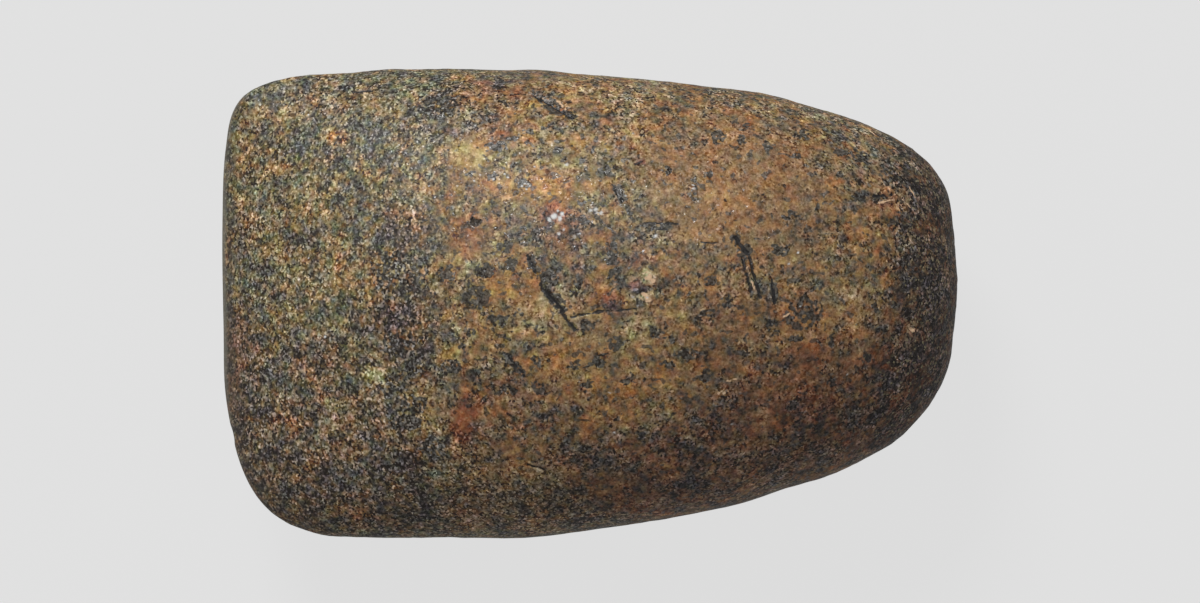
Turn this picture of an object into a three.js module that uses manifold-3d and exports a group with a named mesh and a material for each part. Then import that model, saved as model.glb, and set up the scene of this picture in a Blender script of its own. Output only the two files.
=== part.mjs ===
// Polished stone axe head, ground to shape from one pebble, lying on its underside.
// Millimetres: +X runs from the cutting edge to the butt, +Y across the blade, +Z up.
import * as THREE from 'three';
import { mergeVertices } from 'three/addons/utils/BufferGeometryUtils.js';
import Module from 'manifold-3d';

// Driving dimensions
const length = 85; // cutting edge to butt
const width = 54.3; // side to side at the widest place
const halfThickness = 17.3; // from the edge's own plane to the crown of a face
const crownX = 3; // where the stone is thickest, a little behind its middle

// The outline's four outermost points: both sides, the cutting edge and the butt
const farSideX = -16;
const nearSideX = -18;
const edgeTipY = 4;
const buttTipY = 2;

// How square each quarter of the outline is, along X and across Y: 2 is a plain ellipse
const farButtPowers = [1.8, 4.1];
const farEdgePowers = [4.3, 6];
const nearEdgePowers = [5, 3.1];
const nearButtPowers = [1.9, 3.1];

// How full the thickness stays towards each end, and how bluntly it ends there
const bladeFullness = 2;
const bladeBluntness = 1.15;
const buttFullness = 2.4;
const buttBluntness = 2.2;

// Small flats: one to lie on, and one where hammering has levelled the butt
const underFlatDepth = 0.6;
const buttFlatDepth = 0.1;

// How finely the faceted solid is divided along each side of the starting cube
const divisions = 26;
const outlineSearchSteps = 40;

const stoneColour = 0x6f5f4b;
const stoneRoughness = 0.42;

const halfWidth = width / 2;
const edgeX = -length / 2;
const buttX = length / 2 + buttFlatDepth; // before the butt's flat is cut

// A quarter of the outline is a superelliptic arc round its own inner corner
function quarterArc(cornerX, cornerY, endX, endY, powers) {
  const reachX = Math.abs(endX - cornerX);
  const reachY = Math.abs(endY - cornerY);
  return { x: cornerX, y: cornerY, reachX, reachY, powers };
}

const quarters = {
  farButt: quarterArc(farSideX, buttTipY, buttX, halfWidth, farButtPowers),
  farEdge: quarterArc(farSideX, edgeTipY, edgeX, halfWidth, farEdgePowers),
  nearEdge: quarterArc(nearSideX, edgeTipY, edgeX, -halfWidth, nearEdgePowers),
  nearButt: quarterArc(nearSideX, buttTipY, buttX, -halfWidth, nearButtPowers),
};

function quarterTowards(x, y) {
  if (y >= 0) {
    return x >= 0 ? quarters.farButt : quarters.farEdge;
  }
  return x >= 0 ? quarters.nearButt : quarters.nearEdge;
}

// The outline's point in one direction from its quarter's corner, found by halving
function outlinePoint(directionX, directionY) {
  const quarter = quarterTowards(directionX, directionY);
  const [powerX, powerY] = quarter.powers;
  let inside = 0.5;
  let outside = 1.5;
  for (let step = 0; step < outlineSearchSteps; step += 1) {
    const middle = (inside + outside) / 2;
    const along = Math.abs(middle * directionX) ** powerX;
    const across = Math.abs(middle * directionY) ** powerY;
    if (along + across > 1) {
      outside = middle;
    } else {
      inside = middle;
    }
  }
  return new THREE.Vector2(
    quarter.x + inside * directionX * quarter.reachX,
    quarter.y + inside * directionY * quarter.reachY,
  );
}

// How far the outline stands from the middle line at one X, on the far or the near side
function sideY(x, side) {
  const sideX = side > 0 ? farSideX : nearSideX;
  const quarter = quarterTowards(x - sideX, side);
  const [powerX, powerY] = quarter.powers;
  const share = Math.min(1, Math.abs(x - quarter.x) / quarter.reachX);
  return quarter.y + side * quarter.reachY * (1 - share ** powerX) ** (1 / powerY);
}

// Half the thickness along the crown line, wedge-shaped to the edge and blunt at the butt
function crownHeight(x) {
  const towardsButt = x > crownX;
  const reach = towardsButt ? buttX - crownX : crownX - edgeX;
  const fullness = towardsButt ? buttFullness : bladeFullness;
  const bluntness = towardsButt ? buttBluntness : bladeBluntness;
  const share = Math.min(1, Math.abs(x - crownX) / reach);
  return halfThickness * (1 - share ** fullness) ** (1 / bluntness);
}

// Every section across the stone is an ellipse between its two sides
function faceHeight(x, y) {
  const far = sideY(x, 1);
  const near = sideY(x, -1);
  const halfSpan = (far - near) / 2;
  if (halfSpan === 0) {
    return 0;
  }
  const share = Math.min(1, Math.abs(y - (far + near) / 2) / halfSpan);
  return crownHeight(x) * Math.sqrt(1 - share * share);
}

// A finely divided cube, rounded to a ball and then drawn out to the axe's outline and faces
function roundedStone() {
  const cube = new THREE.BoxGeometry(2, 2, 2, divisions, divisions, divisions);
  cube.deleteAttribute('normal');
  cube.deleteAttribute('uv');
  const stone = mergeVertices(cube);
  const places = stone.attributes.position;
  const middle = new THREE.Vector2(crownX, (edgeTipY + buttTipY) / 2);
  const direction = new THREE.Vector3();
  for (let i = 0; i < places.count; i += 1) {
    direction.fromBufferAttribute(places, i).normalize();
    const spread = Math.hypot(direction.x, direction.y);
    const plan = middle.clone();
    if (spread > 0) {
      const rim = outlinePoint(direction.x / spread, direction.y / spread);
      plan.lerp(rim, spread);
    }
    const height = Math.sign(direction.z) * faceHeight(plan.x, plan.y);
    places.setXYZ(i, plan.x, plan.y, height);
  }
  return stone;
}

// Booleans, for the two flats
const wasm = await Module();
wasm.setup();

function solidFrom(geometry) {
  return new wasm.Manifold(new wasm.Mesh({
    numProp: 3,
    vertProperties: new Float32Array(geometry.attributes.position.array),
    triVerts: new Uint32Array(geometry.index.array),
  }));
}

function geometryFrom(solid) {
  const mesh = solid.getMesh();
  const geometry = new THREE.BufferGeometry();
  geometry.setAttribute('position', new THREE.BufferAttribute(mesh.vertProperties, 3));
  geometry.setIndex(new THREE.BufferAttribute(mesh.triVerts, 1));
  geometry.computeVertexNormals();
  return geometry;
}

function cuttingBlock(centreX, centreZ) {
  const block = new THREE.BoxGeometry(length * 2, length * 2, length * 2);
  block.translate(centreX, 0, centreZ);
  block.deleteAttribute('normal');
  block.deleteAttribute('uv');
  return solidFrom(mergeVertices(block));
}

function makeAxeHead() {
  const underside = halfThickness - underFlatDepth; // the flat's depth below the edge
  const solid = solidFrom(roundedStone())
    .subtract(cuttingBlock(0, -underside - length))
    .subtract(cuttingBlock(length / 2 + length, 0));
  const geometry = geometryFrom(solid);
  geometry.translate(0, 0, underside);
  const material = new THREE.MeshStandardMaterial({
    color: stoneColour,
    roughness: stoneRoughness,
    metalness: 0,
  });
  const axeHead = new THREE.Mesh(geometry, material);
  axeHead.name = 'axe_head';
  return axeHead;
}

const group = new THREE.Group();
group.add(makeAxeHead());

export default group;
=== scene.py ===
import math
import bmesh
import bpy
import numpy as np
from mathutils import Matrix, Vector, noise


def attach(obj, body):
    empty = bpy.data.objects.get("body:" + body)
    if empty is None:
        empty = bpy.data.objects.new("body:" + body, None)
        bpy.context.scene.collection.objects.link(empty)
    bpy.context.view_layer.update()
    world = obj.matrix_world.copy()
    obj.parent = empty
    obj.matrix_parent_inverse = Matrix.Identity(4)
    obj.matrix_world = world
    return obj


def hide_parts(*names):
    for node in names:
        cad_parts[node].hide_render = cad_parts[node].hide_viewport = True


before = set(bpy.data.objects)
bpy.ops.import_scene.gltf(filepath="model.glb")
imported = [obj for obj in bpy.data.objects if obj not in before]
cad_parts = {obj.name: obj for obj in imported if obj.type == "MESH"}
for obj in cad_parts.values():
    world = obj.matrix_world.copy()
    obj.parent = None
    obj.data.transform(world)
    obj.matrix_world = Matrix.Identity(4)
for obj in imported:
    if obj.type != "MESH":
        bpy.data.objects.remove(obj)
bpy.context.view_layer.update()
mm = 0.001  # the scene is in metres, sizes on the stone are given in millimetres


# Small wiring helpers for the materials

def put(tree, kind, inputs=None, **settings):
    # a new node, its inputs linked or set
    made = tree.nodes.new(kind)
    for name, value in settings.items():
        setattr(made, name, value)
    for name, value in (inputs or {}).items():
        if isinstance(value, bpy.types.NodeSocket):
            tree.links.new(value, made.inputs[name])
        else:
            made.inputs[name].default_value = value
    return made


def calc(tree, operation, first, second=0.0, clamp=False):
    made = put(tree, "ShaderNodeMath", {0: first, 1: second}, operation=operation, use_clamp=clamp)
    return made.outputs[0]


def total(tree, *terms):
    # the sum of value times weight
    answer = 0.0
    for value, weight in terms:
        answer = put(tree, "ShaderNodeMath", {0: value, 1: weight, 2: answer},
                     operation="MULTIPLY_ADD").outputs[0]
    return answer


def remap(tree, value, low, high, toLow=0.0, toHigh=1.0):
    # a soft step from low to high
    made = put(tree, "ShaderNodeMapRange", {
        "Value": value, "From Min": low, "From Max": high, "To Min": toLow, "To Max": toHigh,
    }, interpolation_type="SMOOTHSTEP")
    return made.outputs["Result"]


def blend(tree, share, first, second, how="MIX"):
    # a mix of colours has them in its inputs 6 and 7 and the answer in its output 2
    made = put(tree, "ShaderNodeMix", {"Factor": share}, data_type="RGBA", blend_type=how)
    for socket, value in ((made.inputs[6], first), (made.inputs[7], second)):
        if isinstance(value, bpy.types.NodeSocket):
            tree.links.new(value, socket)
        else:
            socket.default_value = (*value, 1.0)
    return made.outputs[2]


def vector(tree, operation, first, second=(0.0, 0.0, 0.0)):
    made = put(tree, "ShaderNodeVectorMath", {0: first, 1: second}, operation=operation)
    return made.outputs["Value" if operation == "DOT_PRODUCT" else "Vector"]


def scaled(tree, value, factor):
    return put(tree, "ShaderNodeVectorMath", {0: value, "Scale": factor}, operation="SCALE").outputs[0]


def cloud(tree, where, size, detail=0.0):
    # noise around zero, with lumps of about the given size
    made = put(tree, "ShaderNodeTexNoise", {"Vector": where, "Scale": 1.0 / size, "Detail": detail})
    return calc(tree, "SUBTRACT", made.outputs["Fac"], 0.5)


def mark(tree, name):
    return put(tree, "ShaderNodeAttribute", attribute_name=name).outputs["Fac"]


def group(name, inputs, outputs):
    tree = bpy.data.node_groups.new(name, "ShaderNodeTree")
    for label, kind, value in inputs:
        socket = tree.interface.new_socket(label, in_out="INPUT", socket_type=kind)
        if value is not None:
            socket.default_value = value
    for label, kind in outputs:
        tree.interface.new_socket(label, in_out="OUTPUT", socket_type=kind)
    entry = tree.nodes.new("NodeGroupInput")
    leave = tree.nodes.new("NodeGroupOutput")
    return tree, entry.outputs, leave.inputs


def useGroup(tree, name, inputs):
    return put(tree, "ShaderNodeGroup", inputs, node_tree=bpy.data.node_groups[name]).outputs


# The stone: all places and sizes are millimetres, seen from above

stone = {
    "node": "axe_head",
    "mergeWithin": 0.002,    # corners of the CAD facets this close are one point
    "flatWithin": 40,        # two facets this flat to each other become one face, in degrees
    "squareWithin": 60,      # how far from square that face may be, in degrees
    "smoothLevels": 2,
    "refineReach": 1.0,      # how far around a carved mark the mesh is made finer
    "refineAgain": 0.45,     # the share of that reach where it is made finer twice
    "refineSmall": 0.6,      # the share of it around pale lines and painted glints
    "refineStrength": 0.6,   # stains at least this strong get the finer mesh too
    "refineBelow": 1.5,      # how far below the edge's plane it still does
    "stainSeen": 0.02,       # and from this much on they count as there
    "stainFade": (0.6, 1.4),  # where a stain begins to fade and where it is gone, in half sizes
    "edgeHeight": 16.7,      # the plane of the cutting edge and the girdle
    "undulation": ((13.0, 0.14), (5.0, 0.05)),  # unevenness of the ground faces: size, height
    "pecking": ((1.7, 0.07), (0.8, 0.045)),     # roughness of the pecked ones: size, height
    "sidePecking": 0.8,      # how much of it the sides have, beside the butt's
    "bodyPecking": 0.4,      # and the body behind the blade
    "lineProfile": (0.1, 0.75),  # where a carved line's floor and its slope end, in widths
    "pitProfile": (0.2, 1.1),    # the same for a pit, in radii
}

# Where each kind of surface starts and where it is complete, in millimetres, or as how
# squarely the surface faces the end or the side that is meant
zones = {
    "bladeEnd": -17.0,       # where the ground blade gives way to the stained body
    "bladeMiddle": 5.0,      # the middle of that line, across the stone
    "bladeStraight": 14.0,   # how far to both sides it runs straight
    "bladeFlare": 0.10,      # how fast it runs back beyond that
    "bladeFade": (-3.5, 3.5),
    "butt": (0.36, 0.64),
    "side": (0.55, 0.9),
    "scaly": (0.35, 0.75),   # the far side, towards the butt
    "scalyFrom": (-8.0, 8.0),
    "rimFade": (0.0, 4.5),   # the painted shade along the girdle, where the sides turn under, away from the light
    "rimFarSide": (-8.0, 16.0),
    "rimThinned": 0.75,      # how much weaker that painted shade is on the lit far side
    "edge": (0.5, 0.8),
    "honedFade": (0.35, 0.85),  # the pale strip along the cutting edge: the polished bevel, with painted sheen on it
    "honedFrom": (-15.0, -5.0),
    "honedLeast": 0.45,      # how strong it still is before that, towards the shaded near side
    "creaseAway": 1.05,      # the painted shade of the crease beside that strip
    "creaseFade": (0.1, 0.45),
    "faceFrom": (0.3, 1.5),  # the stained face, above the edge's plane
    "duskAndShadeFrom": (2.0, 13.0),  # the broad darkening, darker stone and painted shade, goes on round the sides, down to here
    "carvedFrom": (15.0, 16.0),
    "restingFlat": (0.0, 1.5),  # relief dies away towards the flat that the stone lies on
}

# The noise that gives each outline its natural waver: the size of its lumps and their reach,
# and then how much of it moves each kind of outline
waver = {
    "wanderLumps": ((0.9, 0.35), (2.5, 0.45)),
    "jagLumps": 0.45,
    "broadLumps": 7.0,
    "edge": 0.15,
    "blade": 5.0,
    "bladeBroad": 3.0,
    "butt": 0.12,
    "rim": 2.0,
    "duskAndShade": 1.5,
    "stain": 1.0,
    "slateStain": 0.55,
    "stainJag": 0.25,
    "line": 0.12,
    "lineJag": 0.10,
    "carving": 0.3,
}

# Carved lines: start, end, width, depth, and how dark the line is
carved = {
    "furrow left": ((17.3, 5.1), (18.3, 1.3), 0.34, 0.20, 0.9),
    "furrow right": ((17.9, 5.8), (19.3, 0.6), 0.34, 0.22, 1.0),
    "furrow head": ((16.5, 7.5), (17.8, 5.6), 0.75, 0.20, 0.7),
    "furrow dots": ((20.6, 2.7), (20.9, 0.1), 0.40, 0.12, 0.7),
    "furrow tail": ((20.3, -0.5), (20.5, -3.0), 0.22, 0.06, 0.4),
    "long streak top": ((-6.9, 5.4), (-5.1, 1.6), 0.42, 0.10, 1.0),
    "long streak": ((-5.1, 1.6), (-2.9, -0.9), 0.58, 0.16, 1.0),
    "crack": ((-3.1, -0.9), (-1.6, -3.0), 0.32, 0.18, 1.0),
    "scratch": ((-1.9, -1.5), (1.3, -0.9), 0.34, 0.12, 1.0),
    "scratch end": ((1.3, -0.9), (5.2, -0.6), 0.26, 0.08, 0.8),
    "near streak": ((-9.4, -5.5), (-7.1, -8.3), 0.28, 0.12, 0.65),
    "far streak": ((-6.2, 23.7), (-1.8, 21.1), 0.34, 0.22, 1.0),
    "double line": ((5.9, 9.1), (10.1, 9.0), 0.22, 0.10, 0.6),
    "double line under": ((6.2, 8.5), (8.9, 8.3), 0.20, 0.07, 0.4),
    "dash": ((12.6, 6.9), (14.4, 6.8), 0.18, 0.06, 0.6),
    "fine upright": ((11.8, 14.9), (11.9, 11.2), 0.22, 0.06, 0.3),
    "slanting": ((2.6, 13.5), (3.9, 11.4), 0.36, 0.10, 0.45),
    "nick": ((5.3, 15.7), (6.4, 16.3), 0.18, 0.08, 0.7),
    "butt scar": ((32.3, 12.2), (34.5, 12.4), 0.34, 0.12, 0.8),
    "side dash": ((-27.2, 24.4), (-24.9, 24.5), 0.34, 0.16, 0.65),
    "side chip": ((-7.0, -18.2), (-5.0, -18.8), 0.30, 0.16, 0.5),
    "vee": ((33.3, 0.7), (34.3, -0.5), 0.22, 0.10, 0.6),
}

# Pits and chips: middle, radius, depth
pits = {
    "black pit": ((-12.8, 9.2), 0.55, 0.35),
    "pink hollow": ((6.7, 1.5), 0.80, 0.22),
    "butt chip": ((36.8, -2.8), 0.60, 0.16),
    "far chip": ((-3.0, 22.4), 0.50, 0.14),
    "edge nick": ((-41.3, -15.2), 1.30, 0.12),
}

# Where the outline stands out a little, or draws in: place, reach, and how far outwards
swells = (
    ((-40.3, 23.7), 6.0, 0.55), ((-28.5, 26.7), 7.0, -0.36), ((-20.0, 27.1), 4.0, -0.14),
    ((-5.5, 27.1), 4.5, 0.24), ((20.0, 24.3), 7.5, 0.30), ((42.3, 8.5), 6.0, -0.30),
    ((-7.5, -27.0), 9.5, 0.42), ((22.5, -21.6), 6.0, -0.32), ((35.5, -15.7), 4.5, 0.18),
    ((-30.1, -26.8), 4.0, 0.16), ((-42.4, -9.0), 7.0, 0.14), ((42.2, -3.0), 5.0, -0.22),
)

# Pale lines: start, end, width
paleLines = (
    ((17.8, 4.0), (18.8, 1.2), 0.15),
    ((-3.6, 23.1), (-2.5, 22.0), 0.16),
    ((32.9, 11.4), (34.6, 11.8), 0.11),
    ((36.6, 13.3), (37.3, 12.2), 0.09),
    ((35.8, 11.9), (36.7, 10.9), 0.08),
    ((15.6, -8.7), (16.6, -8.5), 0.10),
    ((21.9, -1.5), (23.0, -1.0), 0.11),
    ((6.5, 3.2), (7.1, 2.6), 0.62),
    ((6.1, 0.9), (6.7, 0.4), 0.55),
    ((36.6, -2.6), (37.0, -3.1), 0.30),
)

# Painted glints, near-white specks that stand in for the key light's sparkle on glossy grains: place and
# radius
glints = (
    (-3.9, 9.9, 0.42), (-3.3, 9.6, 0.36), (-4.5, 9.5, 0.30), (-3.0, 10.1, 0.30), (0.8, 10.6, 0.28),
    (1.4, 10.2, 0.24), (-3.4, 7.9, 0.22), (-7.5, 13.2, 0.18), (-7.0, 12.9, 0.16), (-12.9, 13.9, 0.16),
    (0.2, 10.5, 0.24), (-3.5, 10.5, 0.18), (-6.6, 13.3, 0.16), (-9.5, 14.6, 0.15), (-9.1, 14.3, 0.14),
    (6.5, 0.7, 0.14), (5.0, 0.7, 0.14),
    (7.5, 7.6, 0.26), (11.8, 13.0, 0.18), (11.7, 13.4, 0.13), (5.0, 12.9, 0.13), (4.1, 12.2, 0.12),
    (-2.5, 15.7, 0.20), (23.6, 5.7, 0.15), (22.5, 4.5, 0.13), (23.8, -0.3, 0.13), (29.3, -8.0, 0.12),
    (2.9, -14.6, 0.13), (2.4, -10.0, 0.12), (16.2, -13.6, 0.12), (-30.1, -3.8, 0.15),
    (-32.1, 5.2, 0.13), (-32.2, 21.7, 0.15), (-7.2, 13.5, 0.13), (0.9, 10.2, 0.18), (-6.1, 15.5, 0.12),
    (-10.8, 14.1, 0.15), (-12.3, 14.6, 0.13), (-2.8, 8.3, 0.14),
)

# Stains, and among them patches of painted shade and sheen: middle, half length, half width, turn in
# degrees, strength
stains = {
    "slate": (
        # the dark far corner and the blade
        (-17.3, 22.3, 2.7, 1.5, 0, 0.6), (-15.9, 23.6, 1.6, 0.8, 0, 0.5), (-10.2, 25.7, 0.6, 0.6, 0, 0.7),
        (-21.4, 3.2, 3.9, 2.9, 0, 0.42), (-16.0, 3.3, 1.0, 1.2, 0, 0.7), (-21.5, -4.5, 2.2, 1.6, 20, 0.48),
        (-19.8, -7.0, 1.5, 2.0, -15, 0.46), (-22.2, -9.5, 2.0, 1.5, 10, 0.44),
        (-19.9, -11.5, 1.7, 1.3, 0, 0.48), (-20.7, -13.6, 1.9, 0.9, 0, 0.9),
        (-17.5, -16.5, 1.6, 1.4, 0, 0.55),
        # the streaks and the dark grains around them
        (-4.0, 22.5, 2.8, 0.6, -30, 1.0), (-6.2, 4.4, 1.1, 0.6, -65, 0.9), (-4.5, 2.9, 1.2, 0.9, -40, 1.0),
        (-3.7, 0.4, 1.6, 0.7, -48, 1.0), (-8.3, -6.8, 1.8, 0.5, -49, 0.9), (-11.6, 3.7, 1.1, 0.9, 0, 0.9),
        (-12.7, 0.8, 1.6, 1.1, 10, 0.9), (-9.3, 6.4, 0.9, 0.8, 0, 0.7), (-8.8, 4.5, 0.6, 1.0, 0, 0.6),
        (2.8, 4.7, 0.7, 2.5, 0, 0.7), (3.6, 2.3, 0.3, 0.7, 0, 0.8), (-1.2, 2.5, 0.8, 0.6, 0, 0.6),
        (-1.3, 0.8, 0.9, 0.9, 0, 0.4), (0.0, -2.7, 1.0, 0.9, 0, 0.5), (3.0, -4.5, 1.1, 1.0, 0, 0.6),
        # below the middle
        (-10.3, -1.9, 1.2, 0.8, 0, 0.7), (-7.8, -1.3, 0.9, 0.3, 10, 0.7), (-13.3, -3.2, 0.7, 0.6, 0, 0.7),
        (-14.1, -5.0, 0.8, 0.7, 0, 0.7), (-5.5, -3.1, 0.7, 0.7, 0, 0.6), (-6.6, -4.7, 0.6, 0.5, 0, 0.7),
        (-5.8, -6.4, 0.6, 0.6, 0, 0.7), (-1.4, -6.8, 0.4, 0.8, 0, 0.9), (0.9, -6.6, 0.7, 0.7, 0, 0.7),
        (-15.4, -7.1, 1.5, 0.7, 0, 0.6), (-9.3, -9.8, 1.2, 0.7, 0, 0.6), (-5.5, -9.5, 1.0, 1.0, 0, 0.5),
        (-0.4, -9.4, 0.7, 0.7, 0, 0.6), (4.4, -8.7, 0.6, 0.5, 0, 0.6), (9.4, -4.1, 0.7, 0.6, 0, 0.7),
        (7.5, -3.2, 0.8, 0.7, 0, 0.6), (8.9, -6.8, 0.6, 0.6, 0, 0.6), (11.1, -5.7, 1.5, 0.7, 0, 0.6),
        # above the middle
        (-10.6, 17.7, 1.4, 0.6, 0, 0.8), (-6.7, 19.5, 1.1, 0.5, 0, 0.4), (-4.6, 19.9, 1.0, 0.6, 0, 0.5),
        (-8.7, 18.7, 0.9, 0.3, 0, 0.6), (-7.0, 18.1, 0.5, 0.3, 0, 0.6), (-3.5, 17.4, 0.5, 0.5, 0, 0.8),
        (-0.8, 16.3, 0.5, 0.5, 0, 0.7), (0.5, 17.5, 0.3, 0.7, 0, 0.6), (1.9, 15.2, 0.8, 0.7, 0, 0.7),
        (-8.5, 15.7, 0.8, 0.7, 0, 0.4), (-13.4, 14.6, 0.7, 0.3, 0, 0.7), (-10.9, 14.3, 0.7, 0.5, 0, 0.9),
        (-7.2, 13.5, 0.9, 0.5, 0, 0.8), (8.8, 15.1, 0.6, 0.5, 0, 0.9), (11.9, 13.0, 0.3, 1.6, 0, 0.6),
        (3.5, 12.3, 1.2, 0.5, -62, 0.8), (6.0, 11.9, 0.6, 0.6, 0, 0.5), (4.5, 10.3, 0.5, 0.5, 0, 0.6),
        (-12.8, 9.2, 0.6, 0.5, 0, 1.0), (-7.4, 8.3, 0.6, 0.6, 0, 0.7), (-5.9, 7.8, 0.5, 0.7, 0, 0.7),
        (-9.3, 9.2, 0.3, 0.7, 0, 0.5), (-1.1, 11.3, 1.1, 0.6, 0, 0.4), (0.3, 9.3, 1.5, 0.9, 0, 0.5),
        (7.8, 8.7, 2.1, 0.3, 0, 0.7),
        # the brown face
        (14.7, 18.9, 0.8, 0.8, 0, 0.7), (18.0, 20.2, 0.5, 0.3, 0, 0.8), (17.4, 18.6, 0.6, 0.7, 0, 0.6),
        (20.2, 17.7, 0.7, 0.5, 0, 0.6), (24.4, 19.3, 0.8, 0.7, 0, 0.8), (28.5, 17.3, 0.8, 0.5, 0, 0.9),
        (23.8, 16.8, 0.6, 0.3, 0, 0.7), (28.7, 14.5, 0.5, 0.9, 0, 0.5), (13.6, 14.6, 0.7, 0.6, 0, 0.5),
        (30.4, 12.1, 0.6, 0.5, 0, 0.8), (33.1, 12.1, 1.0, 0.3, 0, 0.8), (36.8, 13.8, 1.0, 0.6, 0, 0.6),
        (25.9, 11.0, 0.3, 0.7, 0, 0.7), (22.8, 9.8, 1.2, 1.2, 0, 0.4), (16.5, 7.4, 0.6, 0.8, 0, 0.9),
        (17.4, 5.8, 0.7, 0.9, -60, 0.9), (21.6, 6.0, 1.2, 0.7, -20, 0.7), (13.7, 2.5, 0.7, 0.6, 0, 0.6),
        (11.4, 1.3, 0.6, 0.6, 0, 0.5), (15.4, 0.3, 0.7, 0.7, 0, 0.6), (20.7, 1.4, 0.5, 1.2, 0, 0.7),
        # below it, towards the butt
        (20.8, -2.6, 0.8, 1.4, 0, 0.4), (16.8, -1.1, 0.9, 0.7, 0, 0.5), (13.1, -8.0, 0.7, 0.8, 0, 0.8),
        (27.4, -4.3, 0.5, 0.7, 0, 0.6), (32.4, -0.5, 0.3, 0.8, 0, 0.7), (34.6, -0.2, 0.3, 0.5, 0, 0.9),
        (23.3, -4.0, 0.9, 0.3, 0, 0.7), (31.7, -6.1, 0.6, 0.5, 0, 0.8), (27.5, -8.9, 0.6, 0.7, 0, 0.8),
        (23.1, -11.4, 0.8, 0.8, 0, 0.6), (20.7, -11.1, 1.0, 0.3, 0, 0.5), (13.1, -1.0, 1.2, 0.7, 0, 0.5),
        (24.2, 0.5, 1.6, 0.5, 55, 0.5), (26.0, 2.0, 1.2, 0.4, 20, 0.5), (24.2, -1.3, 2.6, 2.0, 0, 0.5),
        # the butt
        (35.5, 9.0, 1.6, 1.8, 0, 0.50), (36.8, 4.5, 1.4, 1.8, 0, 0.50), (34.4, 14.3, 1.6, 1.0, -40, 0.55),
        (38.3, -0.5, 1.2, 1.8, 0, 0.50), (36.3, -6.5, 1.2, 1.6, 0, 0.45), (31.0, 16.8, 1.4, 0.8, -30, 0.50),
    ),
    "iron": (
        (-13.7, 17.4, 1.7, 2.2, 0, 0.2), (-16.8, -3.6, 0.9, 0.9, 0, 0.4), (-8.4, 23.8, 1.6, 1.0, 0, 0.5),
        (-12.8, -9.8, 2.0, 1.1, 0, 0.8), (-12.6, -12.0, 2.5, 1.1, 0, 0.8), (-14.4, -14.3, 1.4, 1.3, 0, 0.8),
        (-2.4, -7.5, 2.9, 2.7, 0, 0.5), (-5.5, 12.8, 4.5, 1.8, 0, 0.3), (-6.4, 2.1, 1.0, 3.8, 0, 0.4),
        (-13.6, 7.2, 1.6, 2.0, 0, 0.4), (18.6, 20.9, 0.7, 0.6, 0, 0.8), (13.4, 20.4, 1.1, 0.7, 0, 0.6),
        (15.7, 20.8, 0.9, 0.9, 0, 0.5), (18.2, 14.0, 5.7, 6.8, 0, 0.3), (27.6, 13.7, 0.8, 0.7, 0, 0.8),
        (32.8, 12.9, 1.8, 0.5, 0, 0.5), (11.6, -3.5, 1.3, 1.1, 0, 0.6), (17.4, -1.6, 0.9, 0.7, 0, 0.8),
        (24.9, -5.0, 1.1, 0.8, 0, 0.9), (30.4, -3.4, 1.8, 0.8, 0, 0.6), (27.2, -6.3, 0.5, 0.4, 0, 0.9),
        (32.1, -6.2, 0.6, 0.6, 0, 0.5), (14.8, 11.1, 3.4, 5.1, 0, 0.3), (-3.8, -3.2, 0.9, 0.7, 0, 0.5),
        (-29.5, 19.3, 0.6, 0.6, 0, 0.8), (-28.1, 14.1, 0.6, 0.6, 0, 0.6), (-30.5, 11.0, 0.6, 0.6, 0, 0.7),
        (-19.1, -3.0, 1.1, 1.8, 0, 0.3), (5.8, -10.9, 4.5, 2.5, 0, 0.3), (0.1, 21.8, 3.4, 1.4, 0, 0.3),
        (5.8, 18.5, 2.9, 1.8, 0, 0.3), (-12.8, 9.9, 1.3, 0.4, 20, 0.5), (-14.9, 7.6, 2.4, 1.8, 0, 0.35),
        (24.6, -5.9, 2.4, 1.8, 0, 0.5), (12.0, 14.0, 7.0, 6.0, 0, 0.15), (32.0, 8.2, 2.8, 3.2, 0, 0.5),
        (14.8, 3.9, 2.6, 2.2, 0, 0.35), (32.6, 3.9, 2.4, 2.4, 0, 0.35), (32.5, -6.4, 2.5, 2.0, 0, 0.45),
    ),
    "creamAndSheen": (
        (-13.6, 16.7, 2.0, 2.2, 0, 0.68), (-9.8, 16.2, 2.0, 1.4, 0, 0.2), (-8.9, 11.6, 0.5, 0.5, 0, 0.9),
        (7.0, 3.0, 1.0, 0.8, 30, 1.0), (6.4, 0.7, 0.9, 0.6, 0, 1.0), (-3.3, 15.7, 1.0, 0.8, 0, 0.3),
        (36.8, -2.8, 0.6, 0.4, 30, 0.8), (-36.7, 17.3, 0.6, 0.5, 0, 0.4), (-33.4, 16.7, 0.6, 0.5, 0, 0.4),
        (-24.4, -8.2, 1.2, 0.9, 0, 0.9), (-33.0, 4.1, 1.8, 1.1, 0, 0.3), (-3.5, -3.8, 0.4, 0.4, 0, 0.8),
        (-29.1, -11.3, 1.1, 0.7, 0, 0.6), (-15.5, -5.4, 0.9, 1.2, 20, 0.4), (-12.3, -1.6, 3.0, 2.6, 0, 0.16),
        # broad weak patches brighten whole areas; those on the lit crown, at about y 13.5 mm, are painted
        # sheen where the key light's highlight falls
        (-7.0, 13.5, 8.5, 4.2, -5, 0.13), (-12.3, 3.6, 4.0, 3.6, 0, 0.30), (-3.3, -1.6, 4.5, 3.2, 0, 0.46),
        (-39.8, 17.5, 2.5, 6.0, 0, 0.26), (-11.5, 13.6, 3.2, 2.0, 0, 0.24), (-3.2, 13.9, 3.0, 2.2, 0, 0.20),
        (0.5, -3.6, 3.5, 3.0, 0, 0.16),
        (-21.6, 3.8, 3.0, 2.6, 0, 0.19), (5.8, -6.4, 3.0, 2.4, 0, 0.15), (5.8, 24.4, 4.5, 2.0, 0, 0.24),
        (-30.6, -1.4, 3.0, 2.4, 0, 0.29), (-30.6, 3.8, 3.0, 2.4, 0, 0.22),
    ),
    "wine": (
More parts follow.
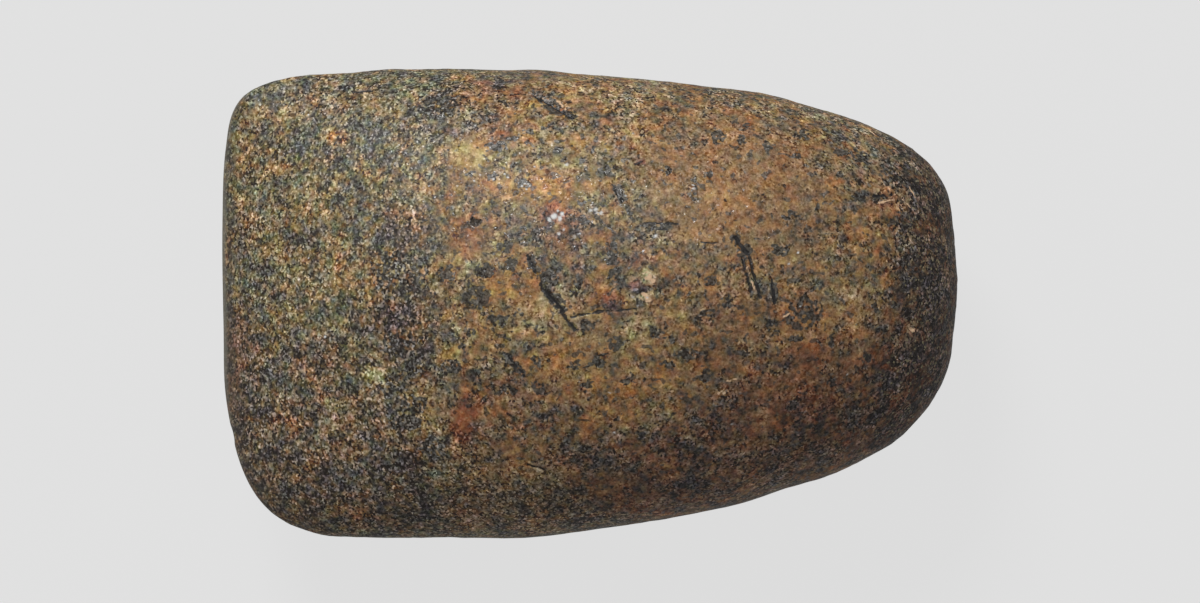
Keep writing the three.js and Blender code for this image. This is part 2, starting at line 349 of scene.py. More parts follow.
        (-13.6, 6.9, 1.4, 1.7, 0, 0.4), (-4.1, 10.3, 1.8, 1.1, 0, 0.8), (-11.7, 24.9, 0.9, 0.7, 0, 0.7),
        (0.1, 9.4, 1.8, 1.4, 0, 0.4), (-1.5, 5.2, 1.3, 1.3, 0, 0.5), (5.4, 1.9, 1.0, 0.7, 0, 0.9),
        (2.5, 0.4, 1.0, 0.9, 0, 0.8), (-5.9, 23.7, 0.9, 0.5, 0, 0.6), (5.9, 16.0, 0.5, 0.3, 35, 1.0),
        (-15.6, 19.5, 0.8, 0.5, 0, 0.7), (5.8, 5.5, 2.0, 1.6, 0, 0.3), (16.6, 18.6, 8.0, 3.4, 0, 0.1),
        (-14.0, -13.4, 1.6, 2.6, 0, 0.4),
    ),
    "moss": (
        (-24.4, -8.2, 1.3, 1.0, 0, 0.9), (-29.1, -11.3, 1.2, 0.8, 0, 0.9), (-15.5, -5.4, 1.0, 1.3, 20, 0.9),
        (-14.0, 3.8, 0.7, 0.9, 0, 0.5), (26.2, 19.4, 0.8, 0.8, 0, 0.8), (-11.7, 23.0, 0.9, 0.7, 0, 0.7),
        (-13.6, 17.0, 2.3, 2.3, 0, 0.55), (-2.0, 14.0, 8.0, 4.5, -8, 0.30), (-12.0, -1.5, 4.0, 5.0, 0, 0.20),
        (-6.7, 22.6, 0.9, 0.5, 0, 0.7), (-37.6, 7.9, 0.7, 0.7, 0, 0.7), (-3.3, 18.8, 0.6, 0.5, 0, 0.8),
        (-36.7, 17.3, 0.7, 0.6, 0, 0.7), (-33.4, 16.7, 0.6, 0.6, 0, 0.7), (-10.0, 7.2, 1.0, 2.3, 0, 0.4),
        (1.3, 12.8, 1.6, 2.3, 0, 0.4), (-9.7, 15.7, 1.6, 1.4, 0, 0.5), (0.1, -8.0, 1.6, 1.4, 0, 0.4),
    ),
    "calm": (  # smoother, more even ground
        (17.5, 13.0, 12.0, 8.5, -15, 1.0), (20.0, -5.0, 13.0, 9.0, 10, 0.6),
        (-6.0, -20.0, 12.0, 4.0, 5, 0.5), (-6.8, 0.7, 1.2, 3.6, -25, 0.8),
        (-14.2, 7.0, 2.8, 2.0, 0, 0.9), (-14.0, -13.6, 1.6, 2.6, 0, 0.9),
        (0.1, -4.4, 3.4, 4.4, 0, 0.6), (24.6, -5.9, 2.4, 1.8, 0, 1.0), (-13.6, 16.9, 1.9, 2.4, 0, 1.0),
    ),
    "duskAndShade": (  # broad darker ground: darker stone, and painted shade where the surface turns away from the key light
        # the blade
        (-30.3, 24.0, 4.0, 2.5, 0, 0.16), (-39.5, 8.8, 3.0, 3.0, 0, 0.2), (-21.4, 8.9, 3.0, 2.6, 0, 0.4),
        (-21.6, -1.4, 3.0, 2.4, 0, 0.66), (-21.0, -4.0, 4.5, 6.0, 0, 0.3), (-40.1, -7.2, 2.6, 6.5, 0, 0.6),
        (-30.7, -6.6, 3.5, 2.6, 0, 0.44), (-30.3, -11.6, 3.5, 2.4, 0, 0.5),
        (-31.0, -17.0, 11.0, 9.0, 0, 0.42), (-21.5, -17.0, 4.0, 3.0, 0, 0.46),
        # the body
        (-12.4, 24.0, 5.0, 1.8, 0, 0.3), (-11.5, 19.3, 3.5, 1.8, 0, 0.22), (-12.3, 8.8, 2.8, 2.2, 0, 0.24),
        (-3.2, 8.6, 2.8, 2.2, 0, 0.36), (23.9, 14.0, 3.2, 2.6, 0, 0.2), (23.9, 8.9, 3.0, 2.6, 0, 0.16),
        (19.5, -1.8, 7.0, 3.0, 10, 0.22), (14.9, -1.3, 3.0, 2.6, 0, 0.34), (14.8, -6.4, 3.0, 2.6, 0, 0.3),
        (24.3, -6.4, 3.0, 2.6, 0, 0.6), (-12.3, -6.5, 3.0, 2.4, 0, 0.16), (-7.5, -11.5, 7.5, 3.5, 0, 0.32),
        (-14.0, -13.0, 2.2, 3.0, 0, 0.6), (-12.2, -16.6, 4.0, 2.6, 0, 0.4), (6.0, -17.5, 12.0, 4.0, 5, 0.46),
        (5.9, -17.0, 4.0, 3.0, 0, 0.54), (24.3, -11.8, 4.0, 3.0, 20, 0.74),
        # the near side and the butt, mostly painted shade, as they face away from the key light
        (-20.0, -24.0, 14.0, 2.2, 0, 0.46), (0.0, -23.0, 30.0, 3.5, 0, 0.36),
        (8.0, -22.0, 8.0, 2.6, 5, 0.62), (24.0, -13.0, 20.0, 7.5, 24, 0.57),
        (33.0, -14.0, 6.0, 3.0, 35, 0.62), (38.0, 0.0, 4.0, 16.0, 0, 0.28),
        (39.5, -9.0, 4.0, 8.0, 0, 0.5), (33.5, 13.0, 4.0, 3.5, -40, 0.24),
    ),
}


def ease(value, low, high):
    # the same soft step as remap, from 0 to 1, for the mesh and its masks
    share = np.clip((value - low) / (high - low), 0.0, 1.0)
    return share * share * (3 - 2 * share)


def alongLine(x, y, start, end):
    # how far each point lies from a line drawn from start to end
    runX = end[0] - start[0]
    runY = end[1] - start[1]
    share = ((x - start[0]) * runX + (y - start[1]) * runY) / (runX * runX + runY * runY)
    share = np.clip(share, 0.0, 1.0)
    return np.hypot(x - start[0] - share * runX, y - start[1] - share * runY)


def stainShare(x, y, stain):
    middleX, middleY, halfLength, halfWidth, turn, strength = stain
    cosine = math.cos(math.radians(turn))
    sine = math.sin(math.radians(turn))
    along = (cosine * (x - middleX) + sine * (y - middleY)) / halfLength
    across = (cosine * (y - middleY) - sine * (x - middleX)) / halfWidth
    return strength * (1 - ease(np.hypot(along, across), *stone["stainFade"]))


def refineNearMarks(build):
    # the mesh is made finer around all the marks, and then again close to the narrow ones
    strongStains = [stain for name in ("slate", "creamAndSheen", "wine") for stain in stains[name]
                    if stain[-1] >= stone["refineStrength"]]
    fullReach = stone["refineReach"]
    for reach, chosenStains in ((fullReach, strongStains), (fullReach * stone["refineAgain"], ())):
        build.edges.ensure_lookup_table()
        middles = np.array([(edge.verts[0].co + edge.verts[1].co) / 2 for edge in build.edges]) / mm
        x, y, z = middles.T
        smallReach = reach * stone["refineSmall"]
        near = np.zeros(len(middles), dtype=bool)
        for start, end, width, depth, dark in carved.values():
            near |= alongLine(x, y, start, end) < width / 2 + reach
        for (pitX, pitY), radius, depth in pits.values():
            near |= np.hypot(x - pitX, y - pitY) < radius + reach
        for start, end, width in paleLines:
            near |= alongLine(x, y, start, end) < width / 2 + smallReach
        for glintX, glintY, radius in glints:
            near |= np.hypot(x - glintX, y - glintY) < radius + smallReach
        for stain in chosenStains:
            near |= stainShare(x, y, stain) > stone["stainSeen"]
        near &= z > stone["edgeHeight"] - stone["refineBelow"]
        chosen = [build.edges[index] for index in np.flatnonzero(near)]
        bmesh.ops.subdivide_edges(build, edges=chosen, cuts=1, use_grid_fill=True)


def smoothCopy(node, levels):
    # the CAD body again, its doubles merged and its facets smoothed out
    mesh = node.data.copy()
    build = bmesh.new()
    build.from_mesh(mesh)
    bmesh.ops.remove_doubles(build, verts=build.verts, dist=stone["mergeWithin"] * mm)
    bmesh.ops.join_triangles(build, faces=build.faces,
                             angle_face_threshold=math.radians(stone["flatWithin"]),
                             angle_shape_threshold=math.radians(stone["squareWithin"]))
    build.to_mesh(mesh)
    build.free()
    rough = bpy.data.objects.new("rough_stone", mesh)
    bpy.context.scene.collection.objects.link(rough)
    smooth = rough.modifiers.new("smooth", "SUBSURF")
    smooth.levels = levels
    smooth.render_levels = levels
    settled = rough.evaluated_get(bpy.context.evaluated_depsgraph_get())
    finished = bpy.data.meshes.new_from_object(settled)
    bpy.data.objects.remove(rough)
    finished.name = "ground_stone"
    build = bmesh.new()
    build.from_mesh(finished)
    refineNearMarks(build)
    build.to_mesh(finished)
    build.free()
    return finished


def carve(x, y):
    # how deep the carved lines and pits go at each point
    deepest = np.zeros(len(x))
    floor, lip = stone["lineProfile"]
    for start, end, width, depth, dark in carved.values():
        away = alongLine(x, y, start, end)
        deepest = np.maximum(deepest, depth * (1 - ease(away, floor * width, lip * width)))
    floor, lip = stone["pitProfile"]
    for (pitX, pitY), radius, depth in pits.values():
        away = np.hypot(x - pitX, y - pitY)
        deepest = np.maximum(deepest, depth * (1 - ease(away, floor * radius, lip * radius)))
    return deepest


def lumps(spots, size):
    return np.array([noise.noise(spot / size) for spot in spots])


def lumpsEachWay(spots, size):
    return np.array([noise.noise_vector(spot / size) for spot in spots])


def shiftedBy(x, y, *moves):
    # the same places, each moved by some noise, so that what is drawn there gets a natural outline
    for noises, amount in moves:
        x = x + amount * noises[:, 0]
        y = y + amount * noises[:, 1]
    return x, y


def findZones(places, normals, wander, meander):
    # how much of each kind of surface there is at every point
    x, y, z = places.T
    beyond = np.maximum(0.0, np.abs(y - zones["bladeMiddle"]) - zones["bladeStraight"])
    behindBlade = zones["bladeEnd"] + zones["bladeFlare"] * beyond * beyond
    intoBlade = behindBlade - x + waver["blade"] * wander[:, 0] + waver["bladeBroad"] * meander
    offEdge = np.abs(z - stone["edgeHeight"]) + waver["edge"] * wander[:, 2]
    atEdge = ease(-normals[:, 0], *zones["edge"])
    # painted shade: a dark band along the girdle, where the sides turn under, weaker on the lit far side
    rim = 1 - ease(offEdge + waver["rim"] * meander, *zones["rimFade"])
    # the polished bevel's paler stone with painted sheen on it, weaker towards the shaded near side
    honedAndSheen = 1 - ease(offEdge, *zones["honedFade"])
    honedLeast = zones["honedLeast"]
    # painted shade: a dark line in the crease beside the cutting edge's pale strip
    creaseShade = 1 - ease(np.abs(offEdge - zones["creaseAway"]), *zones["creaseFade"])
    return {
        "blade": ease(intoBlade, *zones["bladeFade"]),
        "butt": ease(normals[:, 0] + waver["butt"] * wander[:, 1], *zones["butt"]),
        "scaly": ease(normals[:, 1], *zones["scaly"]) * ease(x, *zones["scalyFrom"]),
        "rim": rim * (1 - zones["rimThinned"] * ease(y, *zones["rimFarSide"])),
        "honedAndSheen": honedAndSheen * atEdge * (honedLeast + (1 - honedLeast) * ease(y, *zones["honedFrom"])),
        "creaseShade": creaseShade * atEdge,
    }


def findStains(x, y, wander, jag):
    found = {}
    for name, rows in stains.items():
        drift = waver["slateStain"] if name == "slate" else waver["stain"]
        stainX, stainY = shiftedBy(x, y, (wander, drift), (jag, waver["stainJag"]))
        found[name] = np.zeros(len(x))
        for stain in rows:
            found[name] = np.maximum(found[name], stainShare(stainX, stainY, stain))
    return found


# How the lines and the painted glints are coloured, in millimetres and as shares of their width
lineLook = {
    "darkShare": 0.42,       # half the width of the dark along a carved line
    "darkMore": 0.04,        # and this much more
    "paleStrength": 0.8,
    "glintLength": 0.01,     # a painted glint is a line this short
    "fade": (0.35, 1.0),
}


def findLines(x, y, wander, jag):
    lineX, lineY = shiftedBy(x, y, (wander, waver["line"]), (jag, waver["lineJag"]))
    share = lineLook["darkShare"]
    more = lineLook["darkMore"]
    short = lineLook["glintLength"]
    kinds = {
        "groove": [(start, end, share * width + more, dark)
                   for start, end, width, depth, dark in carved.values()],
        "pale": [(start, end, width, lineLook["paleStrength"]) for start, end, width in paleLines],
        "paintedGlint": [((atX, atY), (atX + short, atY), radius, 1.0) for atX, atY, radius in glints],
    }
    found = {}
    for name, rows in kinds.items():
        found[name] = np.zeros(len(x))
        for start, end, width, strength in rows:
            away = alongLine(lineX, lineY, start, end) / width
            found[name] = np.maximum(found[name], strength * (1 - ease(away, *lineLook["fade"])))
    return found


def shapeSurface(mesh):
    # relief in the mesh, and the zones, stains and lines that the material reads
    places = np.empty(len(mesh.vertices) * 3)
    mesh.vertices.foreach_get("co", places)
    places = places.reshape(-1, 3) / mm
    normals = np.array([vertex.normal for vertex in mesh.vertices])
    spots = [Vector(place) for place in places]
    x, y, z = places.T
    wander = sum(lumpsEachWay(spots, size) * reach for size, reach in waver["wanderLumps"])
    jag = lumpsEachWay(spots, waver["jagLumps"])
    meander = lumps(spots, waver["broadLumps"])

    faceLow, faceHigh = zones["faceFrom"]
    top = ease(z, stone["edgeHeight"] + faceLow, stone["edgeHeight"] + faceHigh)
    # the broad darkening, darker stone and painted shade, reaches round the sides; the other stains and
    # lines stay on the upper face
    wrapped = ease(z + waver["duskAndShade"] * meander, *zones["duskAndShadeFrom"])
    masks = findZones(places, normals, wander, meander)
    for name, share in {**findStains(x, y, wander, jag), **findLines(x, y, wander, jag)}.items():
        masks[name] = share * (wrapped if name == "duskAndShade" else top)

    side = ease(np.abs(normals[:, 1]), *zones["side"])
    pecked = np.maximum.reduce([masks["butt"], stone["sidePecking"] * side,
                                stone["bodyPecking"] * (1 - masks["blade"])])
    height = np.zeros(len(places))
    for size, rise in stone["undulation"]:
        height += rise * lumps(spots, size)
    for size, rise in stone["pecking"]:
        height += pecked * rise * lumps(spots, size)
    height -= carve(*shiftedBy(x, y, (wander, waver["carving"]))) * ease(z, *zones["carvedFrom"])
    for (swellX, swellY), reach, outwards in swells:
        height += outwards * (1 - ease(np.hypot(x - swellX, y - swellY), 0.0, reach))
    height *= ease(z, *zones["restingFlat"])
    moved = places + normals * height[:, None]
    moved[:, 2] = np.maximum(moved[:, 2], 0.0)
    mesh.vertices.foreach_set("co", (moved * mm).ravel())
    for name, values in masks.items():
        layer = mesh.attributes.new(name, "FLOAT", "POINT")
        layer.data.foreach_set("value", values.astype(np.float32))
    for face in mesh.polygons:
        face.use_smooth = True
    mesh.update()


def makeGrainCells():
    # grains of one size, each with three random values of its own and a facet tilted its own way
    tree, given, made = group("grainCells", (
        ("Vector", "NodeSocketVector", None), ("Size", "NodeSocketFloat", 0.3),
    ), (
        ("Pick", "NodeSocketFloat"), ("Tone", "NodeSocketFloat"), ("Hue", "NodeSocketFloat"),
        ("Facet", "NodeSocketFloat"),
    ))
    cells = put(tree, "ShaderNodeTexVoronoi", {
        "Vector": given["Vector"], "Scale": calc(tree, "DIVIDE", 1.0, given["Size"]),
    })
    chance = vector(tree, "SUBTRACT", cells.outputs["Color"], (0.5, 0.5, 0.5))
    inside = vector(tree, "SUBTRACT", given["Vector"], cells.outputs["Position"])
    values = put(tree, "ShaderNodeSeparateXYZ", {0: chance}).outputs
    for name, value in zip(("Pick", "Tone", "Hue"), values):
        tree.links.new(value, made[name])
    tree.links.new(vector(tree, "DOT_PRODUCT", inside, chance), made["Facet"])


# What the grains are, from the darkest to the palest
minerals = {
    "blade": (
        (0.00, (0.020, 0.016, 0.013)), (0.17, (0.056, 0.048, 0.040)), (0.34, (0.106, 0.095, 0.067)),
        (0.50, (0.158, 0.129, 0.065)), (0.66, (0.238, 0.168, 0.072)), (0.83, (0.335, 0.222, 0.085)),
        (1.00, (0.480, 0.390, 0.240)),
    ),
    "body": (
        (0.00, (0.040, 0.034, 0.028)), (0.15, (0.068, 0.062, 0.052)), (0.27, (0.112, 0.093, 0.065)),
        (0.42, (0.188, 0.127, 0.065)), (0.62, (0.276, 0.171, 0.076)), (0.82, (0.390, 0.252, 0.108)),
        (1.00, (0.580, 0.420, 0.205)),
    ),
}

# The finish: sizes are millimetres, and patches are pairs of size and strength. A row of names
# gives how much each zone or stain adds to what the row is called after, and "all" is everywhere
finish = {
    "largeGrain": 0.44,
    "smallGrain": 0.23,
    "grainBend": (2.2, 0.3),  # how finely and how far the grains' outlines are bent

    # the soft patches that decide the mineral
    "mineralPatches": ((0.62, 0.75), (1.15, 0.75), (2.3, 0.65), (5.5, 0.50)),
    "mineralGrain": 0.20,
    "mineralSpread": {"blade": -0.03, "calm": -0.36, "duskAndShade": 0.36, "all": 0.88},
    "mineralPaler": {"iron": 0.08, "creamAndSheen": 0.42, "moss": 0.08, "butt": -0.08, "all": 0.525},

    # patches warmer or cooler, greener or redder than the next, less so on the even ground
    "warmPatches": ((1.6, 1.20), (3.8, 1.20)),
    "warm": {"iron": 0.65, "calm": 0.14, "blade": 0.04, "creamAndSheen": -0.12, "moss": 0.24, "duskAndShade": 0.06},
    "greenPatch": (0.9, 0.80),
    "green": {"moss": 0.32, "wine": -0.40, "duskAndShade": -0.22},
    "variety": {"calm": -0.40, "all": 1.0},

    # slate grains, ragged at their rims and broken up where a stain is weak, and scattered ones
    "fleckPatch": (0.5, 3.0),
    "fleckGrain": 0.5,
    "slateFrom": (0.30, 0.50),
    "spotPatch": 0.75,
    "spotGrain": 0.12,
    "spotFrom": (0.17, 0.23),
    "spotCover": {"blade": -0.6, "all": 0.85},
    "slateCover": 0.90,
    "slate": (0.052, 0.051, 0.045),

    # how much the grains stand out from their patch
    "busyPatches": ((1.2, 1.9), (3.1, 1.8)),
    "busyWarm": -0.8,
    "busy": {"calm": -0.20, "iron": -0.15},
    "busyPlace": {"blade": -0.70, "all": 1.0},
    "busyWarmBlade": 0.5,
    "busyLeast": 0.3,
    "pepper": {"blade": 0.13, "butt": 0.50, "duskAndShade": 0.38, "slate": 0.05, "calm": -0.09, "scaly": 0.16,
               "all": 0.46},
    "farGrains": (2.4, 0.60),  # grains far from the middle tone stand out more than the rest
    "paleGrains": {"blade": 0.40, "all": 0.60},  # the pale ones less, away from the blade
    "largeTone": 0.12,
    "tonePatch": (0.28, 0.30),
    "tone": {"blade": -0.008, "all": 0.016},
    "darkest": (0.165, 0.130, 0.100),
    "gamma": 2.2,

    # broad darkening, darker stone and painted shade on the near side and the butt, then the lighter grains
    # that stand out of it
    "darkerAndShaded": {"duskAndShade": (0.36, 0.28, 0.33), "butt": (0.56, 0.51, 0.52)},
    "sparkButt": 0.05,
    "sparkFrom": (0.45, 0.48),
    "sparkCover": {"duskAndShade": 0.45, "butt": 0.55},
    "spark": (0.34, 0.29, 0.17),

    # the girdle and the cutting edge: cover and colour. The rim band and the crease are painted shade, the
    # honed strip is the polished bevel with painted sheen
    "shadeAndWear": {
        "rim": (0.38, (0.052, 0.044, 0.036)),
        "creaseShade": (0.55, (0.050, 0.040, 0.036)),
        "honedAndSheen": (0.85, (0.195, 0.182, 0.148)),
    },

    # the carved lines and the pale ones: the soft step that their cover takes, and their colour
    "drawn": {
        "groove": ((0.12, 0.42, 0.0, 0.94), (0.016, 0.015, 0.016)),
        "pale": ((0.15, 0.75, 0.0, 1.0), (0.74, 0.50, 0.31)),
    },
    # the colour of the painted glints, near-white highlights
    "paintedGlint": (0.80, 0.80, 0.78),

    # relief and gloss
    "largeFacet": 0.26,
    "smallFacet": 0.22,
    "unevenSize": 0.6,
    "uneven": {"butt": 0.14, "blade": -0.04, "all": 0.11},
    "glossGrains": (0.30, 0.48, 0.52, 0.24),  # from which grains on, and from dull to glossy
    "slateGloss": -0.14,
    "specular": 0.45,
}


def mineralRamp(tree, pick, colours):
    # a new ramp has two stops already
    node = put(tree, "ShaderNodeValToRGB", {"Fac": pick})
    ramp = node.color_ramp
    for index, (share, colour) in enumerate(colours):
        stop = ramp.elements[index] if index < 2 else ramp.elements.new(share)
        stop.position = share
        stop.color = (*colour, 1.0)
    return node.outputs["Color"]


def patches(tree, where, rows):
    # clouds of several sizes, as terms of a sum
    return [(cloud(tree, where, size), strength) for size, strength in rows]


def shares(found, row):
    # the zones and stains that a row of the finish names, as terms of a sum
    return [(found[name], weight) for name, weight in row.items()]


def mineralColour(tree, where, large, found):
    drift = total(tree, *patches(tree, where, finish["mineralPatches"]),
                  (large["Pick"], finish["mineralGrain"]))
    spread = total(tree, *shares(found, finish["mineralSpread"]))
    pick = total(tree, (drift, spread), *shares(found, finish["mineralPaler"]))
    body = mineralRamp(tree, pick, minerals["body"])
    return blend(tree, found["blade"], body, mineralRamp(tree, pick, minerals["blade"]))


def warmAndGreen(tree, where, found):
    variety = total(tree, *shares(found, finish["variety"]))
    warm = total(tree, *patches(tree, where, finish["warmPatches"]))
    warm = total(tree, (warm, variety), *shares(found, finish["warm"]))
    size, strength = finish["greenPatch"]
    green = calc(tree, "MULTIPLY", cloud(tree, where, size), variety)
    green = total(tree, (green, strength), *shares(found, finish["green"]))
    return warm, green


def tintBy(tree, colour, warm, green):
    # half the warmth goes to red and is taken from blue, half the green goes to green and a
    # quarter of it is taken from each of the other two, so that the tone stays about the same
    powers = (
        total(tree, (warm, 0.5), (green, -0.25)),
        calc(tree, "MULTIPLY", green, 0.5),
        total(tree, (warm, -0.5), (green, -0.25)),
    )
    tint = put(tree, "ShaderNodeCombineColor", {
        index: calc(tree, "EXPONENT", power) for index, power in enumerate(powers)
    }).outputs[0]
    return blend(tree, 1.0, colour, tint, "MULTIPLY")


def slateGrains(tree, where, large, flecks, found):
    stained = remap(tree, calc(tree, "MULTIPLY", found["slate"], flecks), *finish["slateFrom"])
    spots = total(tree, (cloud(tree, where, finish["spotPatch"]), 1.0),
                  (large["Pick"], finish["spotGrain"]))
    spots = remap(tree, spots, *finish["spotFrom"])
    spots = calc(tree, "MULTIPLY", spots, total(tree, *shares(found, finish["spotCover"])))
    return calc(tree, "MAXIMUM", stained, spots)


def grainTone(tree, where, large, small, warm, found):
    # how much lighter or darker than its patch each grain is
    swing = total(tree, *patches(tree, where, finish["busyPatches"]), (warm, finish["busyWarm"]),
                  *shares(found, finish["busy"]))
    warmBlade = calc(tree, "MULTIPLY", found["blade"], warm)
    busy = total(tree, (swing, total(tree, *shares(found, finish["busyPlace"]))),
                 (warmBlade, finish["busyWarmBlade"]), (1.0, 1.0))
    pepper = total(tree, *shares(found, finish["pepper"]))
    pepper = calc(tree, "MULTIPLY", pepper, calc(tree, "MAXIMUM", busy, finish["busyLeast"]))
    farther, least = finish["farGrains"]
    far = total(tree, (calc(tree, "MULTIPLY", small["Tone"], small["Tone"]), farther), (1.0, least))
    speck = calc(tree, "MULTIPLY", calc(tree, "MULTIPLY", small["Tone"], far), pepper)
    held = calc(tree, "MULTIPLY", speck, total(tree, *shares(found, finish["paleGrains"])))
    size, strength = finish["tonePatch"]
    return total(tree, (calc(tree, "MINIMUM", speck, held), 1.0), (large["Tone"], finish["largeTone"]),
                 (cloud(tree, where, size, 1.0), strength), *shares(found, finish["tone"]))


def addTone(tree, colour, tone):
    # added to the colour as the eye sees it, so that a grain keeps the colour of its patch
    seen = put(tree, "ShaderNodeGamma", {"Color": colour, "Gamma": 1 / finish["gamma"]}).outputs[0]
    seen = vector(tree, "MAXIMUM", vector(tree, "ADD", seen, tone), finish["darkest"])
    return put(tree, "ShaderNodeGamma", {"Color": seen, "Gamma": finish["gamma"]}).outputs[0]


def shadeGlintsWearAndMarks(tree, colour, small, flecks, found):
    # painted shade, with darker stone: the near side and the butt are darkened
    for name, paint in finish["darkerAndShaded"].items():
        colour = blend(tree, found[name], colour, blend(tree, 1.0, colour, paint, "MULTIPLY"))
    sparks = total(tree, (small["Pick"], 1.0), (found["butt"], finish["sparkButt"]))
    sparks = remap(tree, sparks, *finish["sparkFrom"])
    cover = total(tree, *shares(found, finish["sparkCover"]))
    colour = blend(tree, calc(tree, "MULTIPLY", sparks, cover, clamp=True), colour, finish["spark"])
    # painted shade along the rim and in the crease, and the polished bevel with painted sheen
    for name, (cover, paint) in finish["shadeAndWear"].items():
        colour = blend(tree, calc(tree, "MULTIPLY", found[name], cover), colour, paint)
    for name, (steps, paint) in finish["drawn"].items():
        cover = remap(tree, calc(tree, "MULTIPLY", found[name], flecks), *steps)
        colour = blend(tree, cover, colour, paint)
    # painted highlights: near-white glints of the key light
    return blend(tree, found["paintedGlint"], colour, finish["paintedGlint"])


def grainRelief(tree, where, large, small, found):
    facets = total(tree, (large["Facet"], finish["largeFacet"]), (small["Facet"], finish["smallFacet"]))
    uneven = cloud(tree, where, finish["unevenSize"], 2.0)
    return total(tree, (facets, 1.0), (uneven, total(tree, *shares(found, finish["uneven"]))))


def makeStoneMaterial():
    material = bpy.data.materials.new("ground_stone")
    material.use_nodes = True
    tree = material.node_tree
    tree.nodes.clear()
    place = put(tree, "ShaderNodeTexCoord").outputs["Object"]
    where = put(tree, "ShaderNodeMapping", {"Vector": place, "Scale": (1 / mm,) * 3}).outputs[0]
    bendScale, bend = finish["grainBend"]
    ragged = put(tree, "ShaderNodeTexNoise", {"Vector": where, "Scale": bendScale, "Detail": 1.0})
    ragged = vector(tree, "SUBTRACT", ragged.outputs["Color"], (0.5, 0.5, 0.5))
    warped = vector(tree, "ADD", where, scaled(tree, ragged, bend))
    large = useGroup(tree, "grainCells", {"Vector": warped, "Size": finish["largeGrain"]})
    small = useGroup(tree, "grainCells", {"Vector": warped, "Size": finish["smallGrain"]})
    found = {name: mark(tree, name) for name in (
        "blade", "butt", "scaly", "rim", "honedAndSheen", "creaseShade", *stains, "groove", "pale", "paintedGlint",
    )}
    found["all"] = 1.0

    colour = mineralColour(tree, where, large, found)
    warm, green = warmAndGreen(tree, where, found)
    colour = tintBy(tree, colour, warm, green)
    size, strength = finish["fleckPatch"]
    flecks = total(tree, (cloud(tree, where, size), strength), (large["Pick"], finish["fleckGrain"]),
                   (1.0, 1.0))
    found["slate"] = slateGrains(tree, where, large, flecks, found)
    slateCover = calc(tree, "MULTIPLY", found["slate"], finish["slateCover"])
    colour = blend(tree, slateCover, colour, finish["slate"])
    colour = addTone(tree, colour, grainTone(tree, where, large, small, warm, found))
    colour = shadeGlintsWearAndMarks(tree, colour, small, flecks, found)

    bump = put(tree, "ShaderNodeBump", {
        "Height": grainRelief(tree, where, large, small, found), "Strength": 1.0, "Distance": mm,
    })
    gloss = remap(tree, small["Hue"], *finish["glossGrains"])
    roughness = total(tree, (gloss, 1.0), (found["slate"], finish["slateGloss"]))
    skin = put(tree, "ShaderNodeBsdfPrincipled", {
        "Base Color": colour, "Roughness": roughness, "Normal": bump.outputs[0],
        "Specular IOR Level": finish["specular"],
    })
    put(tree, "ShaderNodeOutputMaterial", {"Surface": skin.outputs[0]})
    return material


def makeStone():
    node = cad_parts[stone["node"]]
    mesh = smoothCopy(node, stone["smoothLevels"])
    shapeSurface(mesh)
    mesh.materials.clear()
    mesh.materials.append(makeStoneMaterial())
    piece = bpy.data.objects.new("ground_stone", mesh)
    bpy.context.scene.collection.objects.link(piece)
    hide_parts(stone["node"])
    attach(piece, "root")
    mesh.calc_loop_triangles()
    print("stone:", len(mesh.polygons), "faces,", len(mesh.loop_triangles), "triangles")


# Floor, light and camera

studio = {
    "floorSize": 3.0,
    "floorDrop": 0.02,        # millimetres, so that it never meets the stone's resting flat
    "floorGlow": 0.705,       # the even pale grey under the stone
    "floorAlbedo": 0.06,      # what little of the shadow it shows
    "sky": 0.72,              # the backdrop as the camera sees it
    "fill": 0.27,
    "keyFrom": (-0.26, 0.69, 0.68),
    "keyDistance": 0.9,
    "keySize": 0.32,
    "keyPower": 6.0,
}


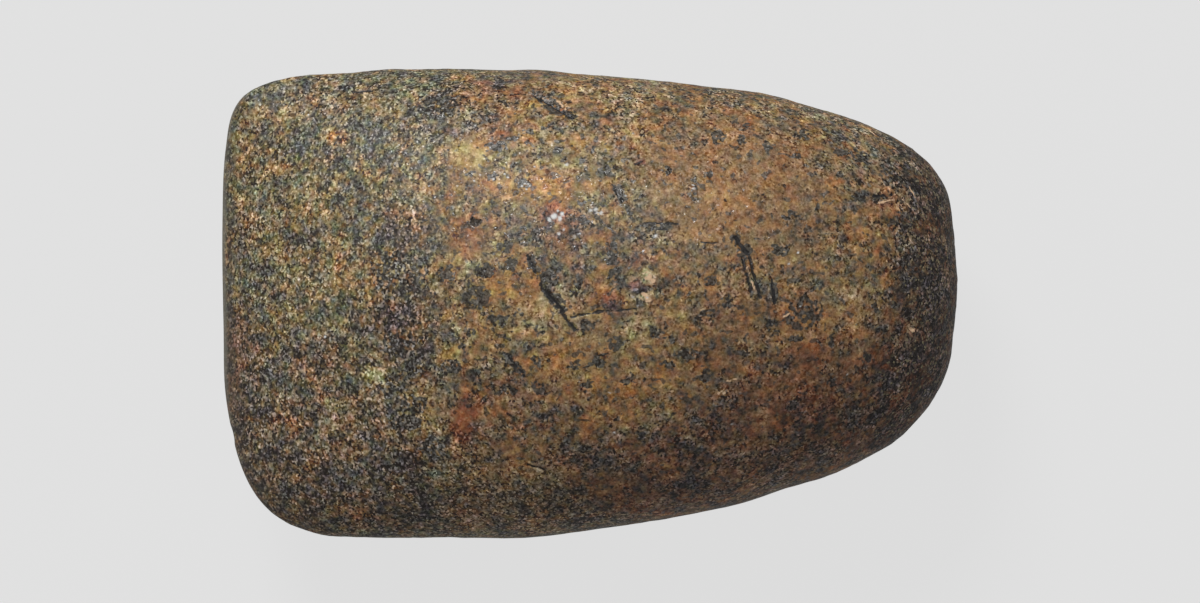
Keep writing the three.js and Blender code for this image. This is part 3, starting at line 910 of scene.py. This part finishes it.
def makeFloor():
    build = bmesh.new()
    half = studio["floorSize"] / 2
    bmesh.ops.create_grid(build, x_segments=1, y_segments=1, size=half)
    mesh = bpy.data.meshes.new("floor")
    build.to_mesh(mesh)
    build.free()
    floor = bpy.data.objects.new("floor", mesh)
    bpy.context.scene.collection.objects.link(floor)
    floor.location.z = -studio["floorDrop"] * mm
    floor.visible_diffuse = False
    floor.visible_glossy = False
    material = bpy.data.materials.new("pale_floor")
    material.use_nodes = True
    tree = material.node_tree
    skin = tree.nodes["Principled BSDF"]
    glow = studio["floorGlow"]
    grey = studio["floorAlbedo"]
    skin.inputs["Base Color"].default_value = (grey, grey, grey, 1.0)
    skin.inputs["Roughness"].default_value = 1.0
    skin.inputs["Specular IOR Level"].default_value = 0.0
    skin.inputs["Emission Color"].default_value = (glow, glow, glow, 1.0)
    skin.inputs["Emission Strength"].default_value = 1.0
    mesh.materials.append(material)


def makeWorld():
    world = bpy.data.worlds.new("studio")
    bpy.context.scene.world = world
    world.use_nodes = True
    tree = world.node_tree
    tree.nodes.clear()
    white = (1.0, 1.0, 1.0, 1.0)
    fill = put(tree, "ShaderNodeBackground", {"Color": white, "Strength": studio["fill"]})
    seen = put(tree, "ShaderNodeBackground", {"Color": white, "Strength": studio["sky"]})
    path = put(tree, "ShaderNodeLightPath")
    both = put(tree, "ShaderNodeMixShader", {
        0: path.outputs["Is Camera Ray"], 1: fill.outputs[0], 2: seen.outputs[0],
    })
    put(tree, "ShaderNodeOutputWorld", {"Surface": both.outputs[0]})


def makeKey():
    light = bpy.data.lights.new("key", "AREA")
    light.shape = "DISK"
    light.size = studio["keySize"]
    light.energy = studio["keyPower"]
    lamp = bpy.data.objects.new("key", light)
    bpy.context.scene.collection.objects.link(lamp)
    back = Vector(studio["keyFrom"]).normalized()
    lamp.location = back * studio["keyDistance"]
    lamp.rotation_mode = "QUATERNION"
    lamp.rotation_quaternion = back.to_track_quat("Z", "Y")


camera = {
    "frameWidth": 138.96,     # what the photo's 1200 pixels span at the height of the edge, mm
    "aim": (1.27, 0.23),      # the middle of the photo on the stone, mm
    "lens": 150.0,
    "clipStart": 0.01,
    "clipEnd": 20.0,
}


def makeCamera():
    lens = bpy.data.cameras.new("camera")
    lens.lens = camera["lens"]
    lens.clip_start = camera["clipStart"]
    lens.clip_end = camera["clipEnd"]
    view = bpy.data.objects.new("camera", lens)
    bpy.context.scene.collection.objects.link(view)
    distance = camera["frameWidth"] * camera["lens"] / lens.sensor_width
    x, y = camera["aim"]
    view.location = Vector((x, y, stone["edgeHeight"] + distance)) * mm
    bpy.context.scene.camera = view


makeCamera()
makeWorld()
makeKey()
makeFloor()
print("stage ready")
makeGrainCells()
makeStone()
bpy.context.scene.view_settings.view_transform = "Standard"
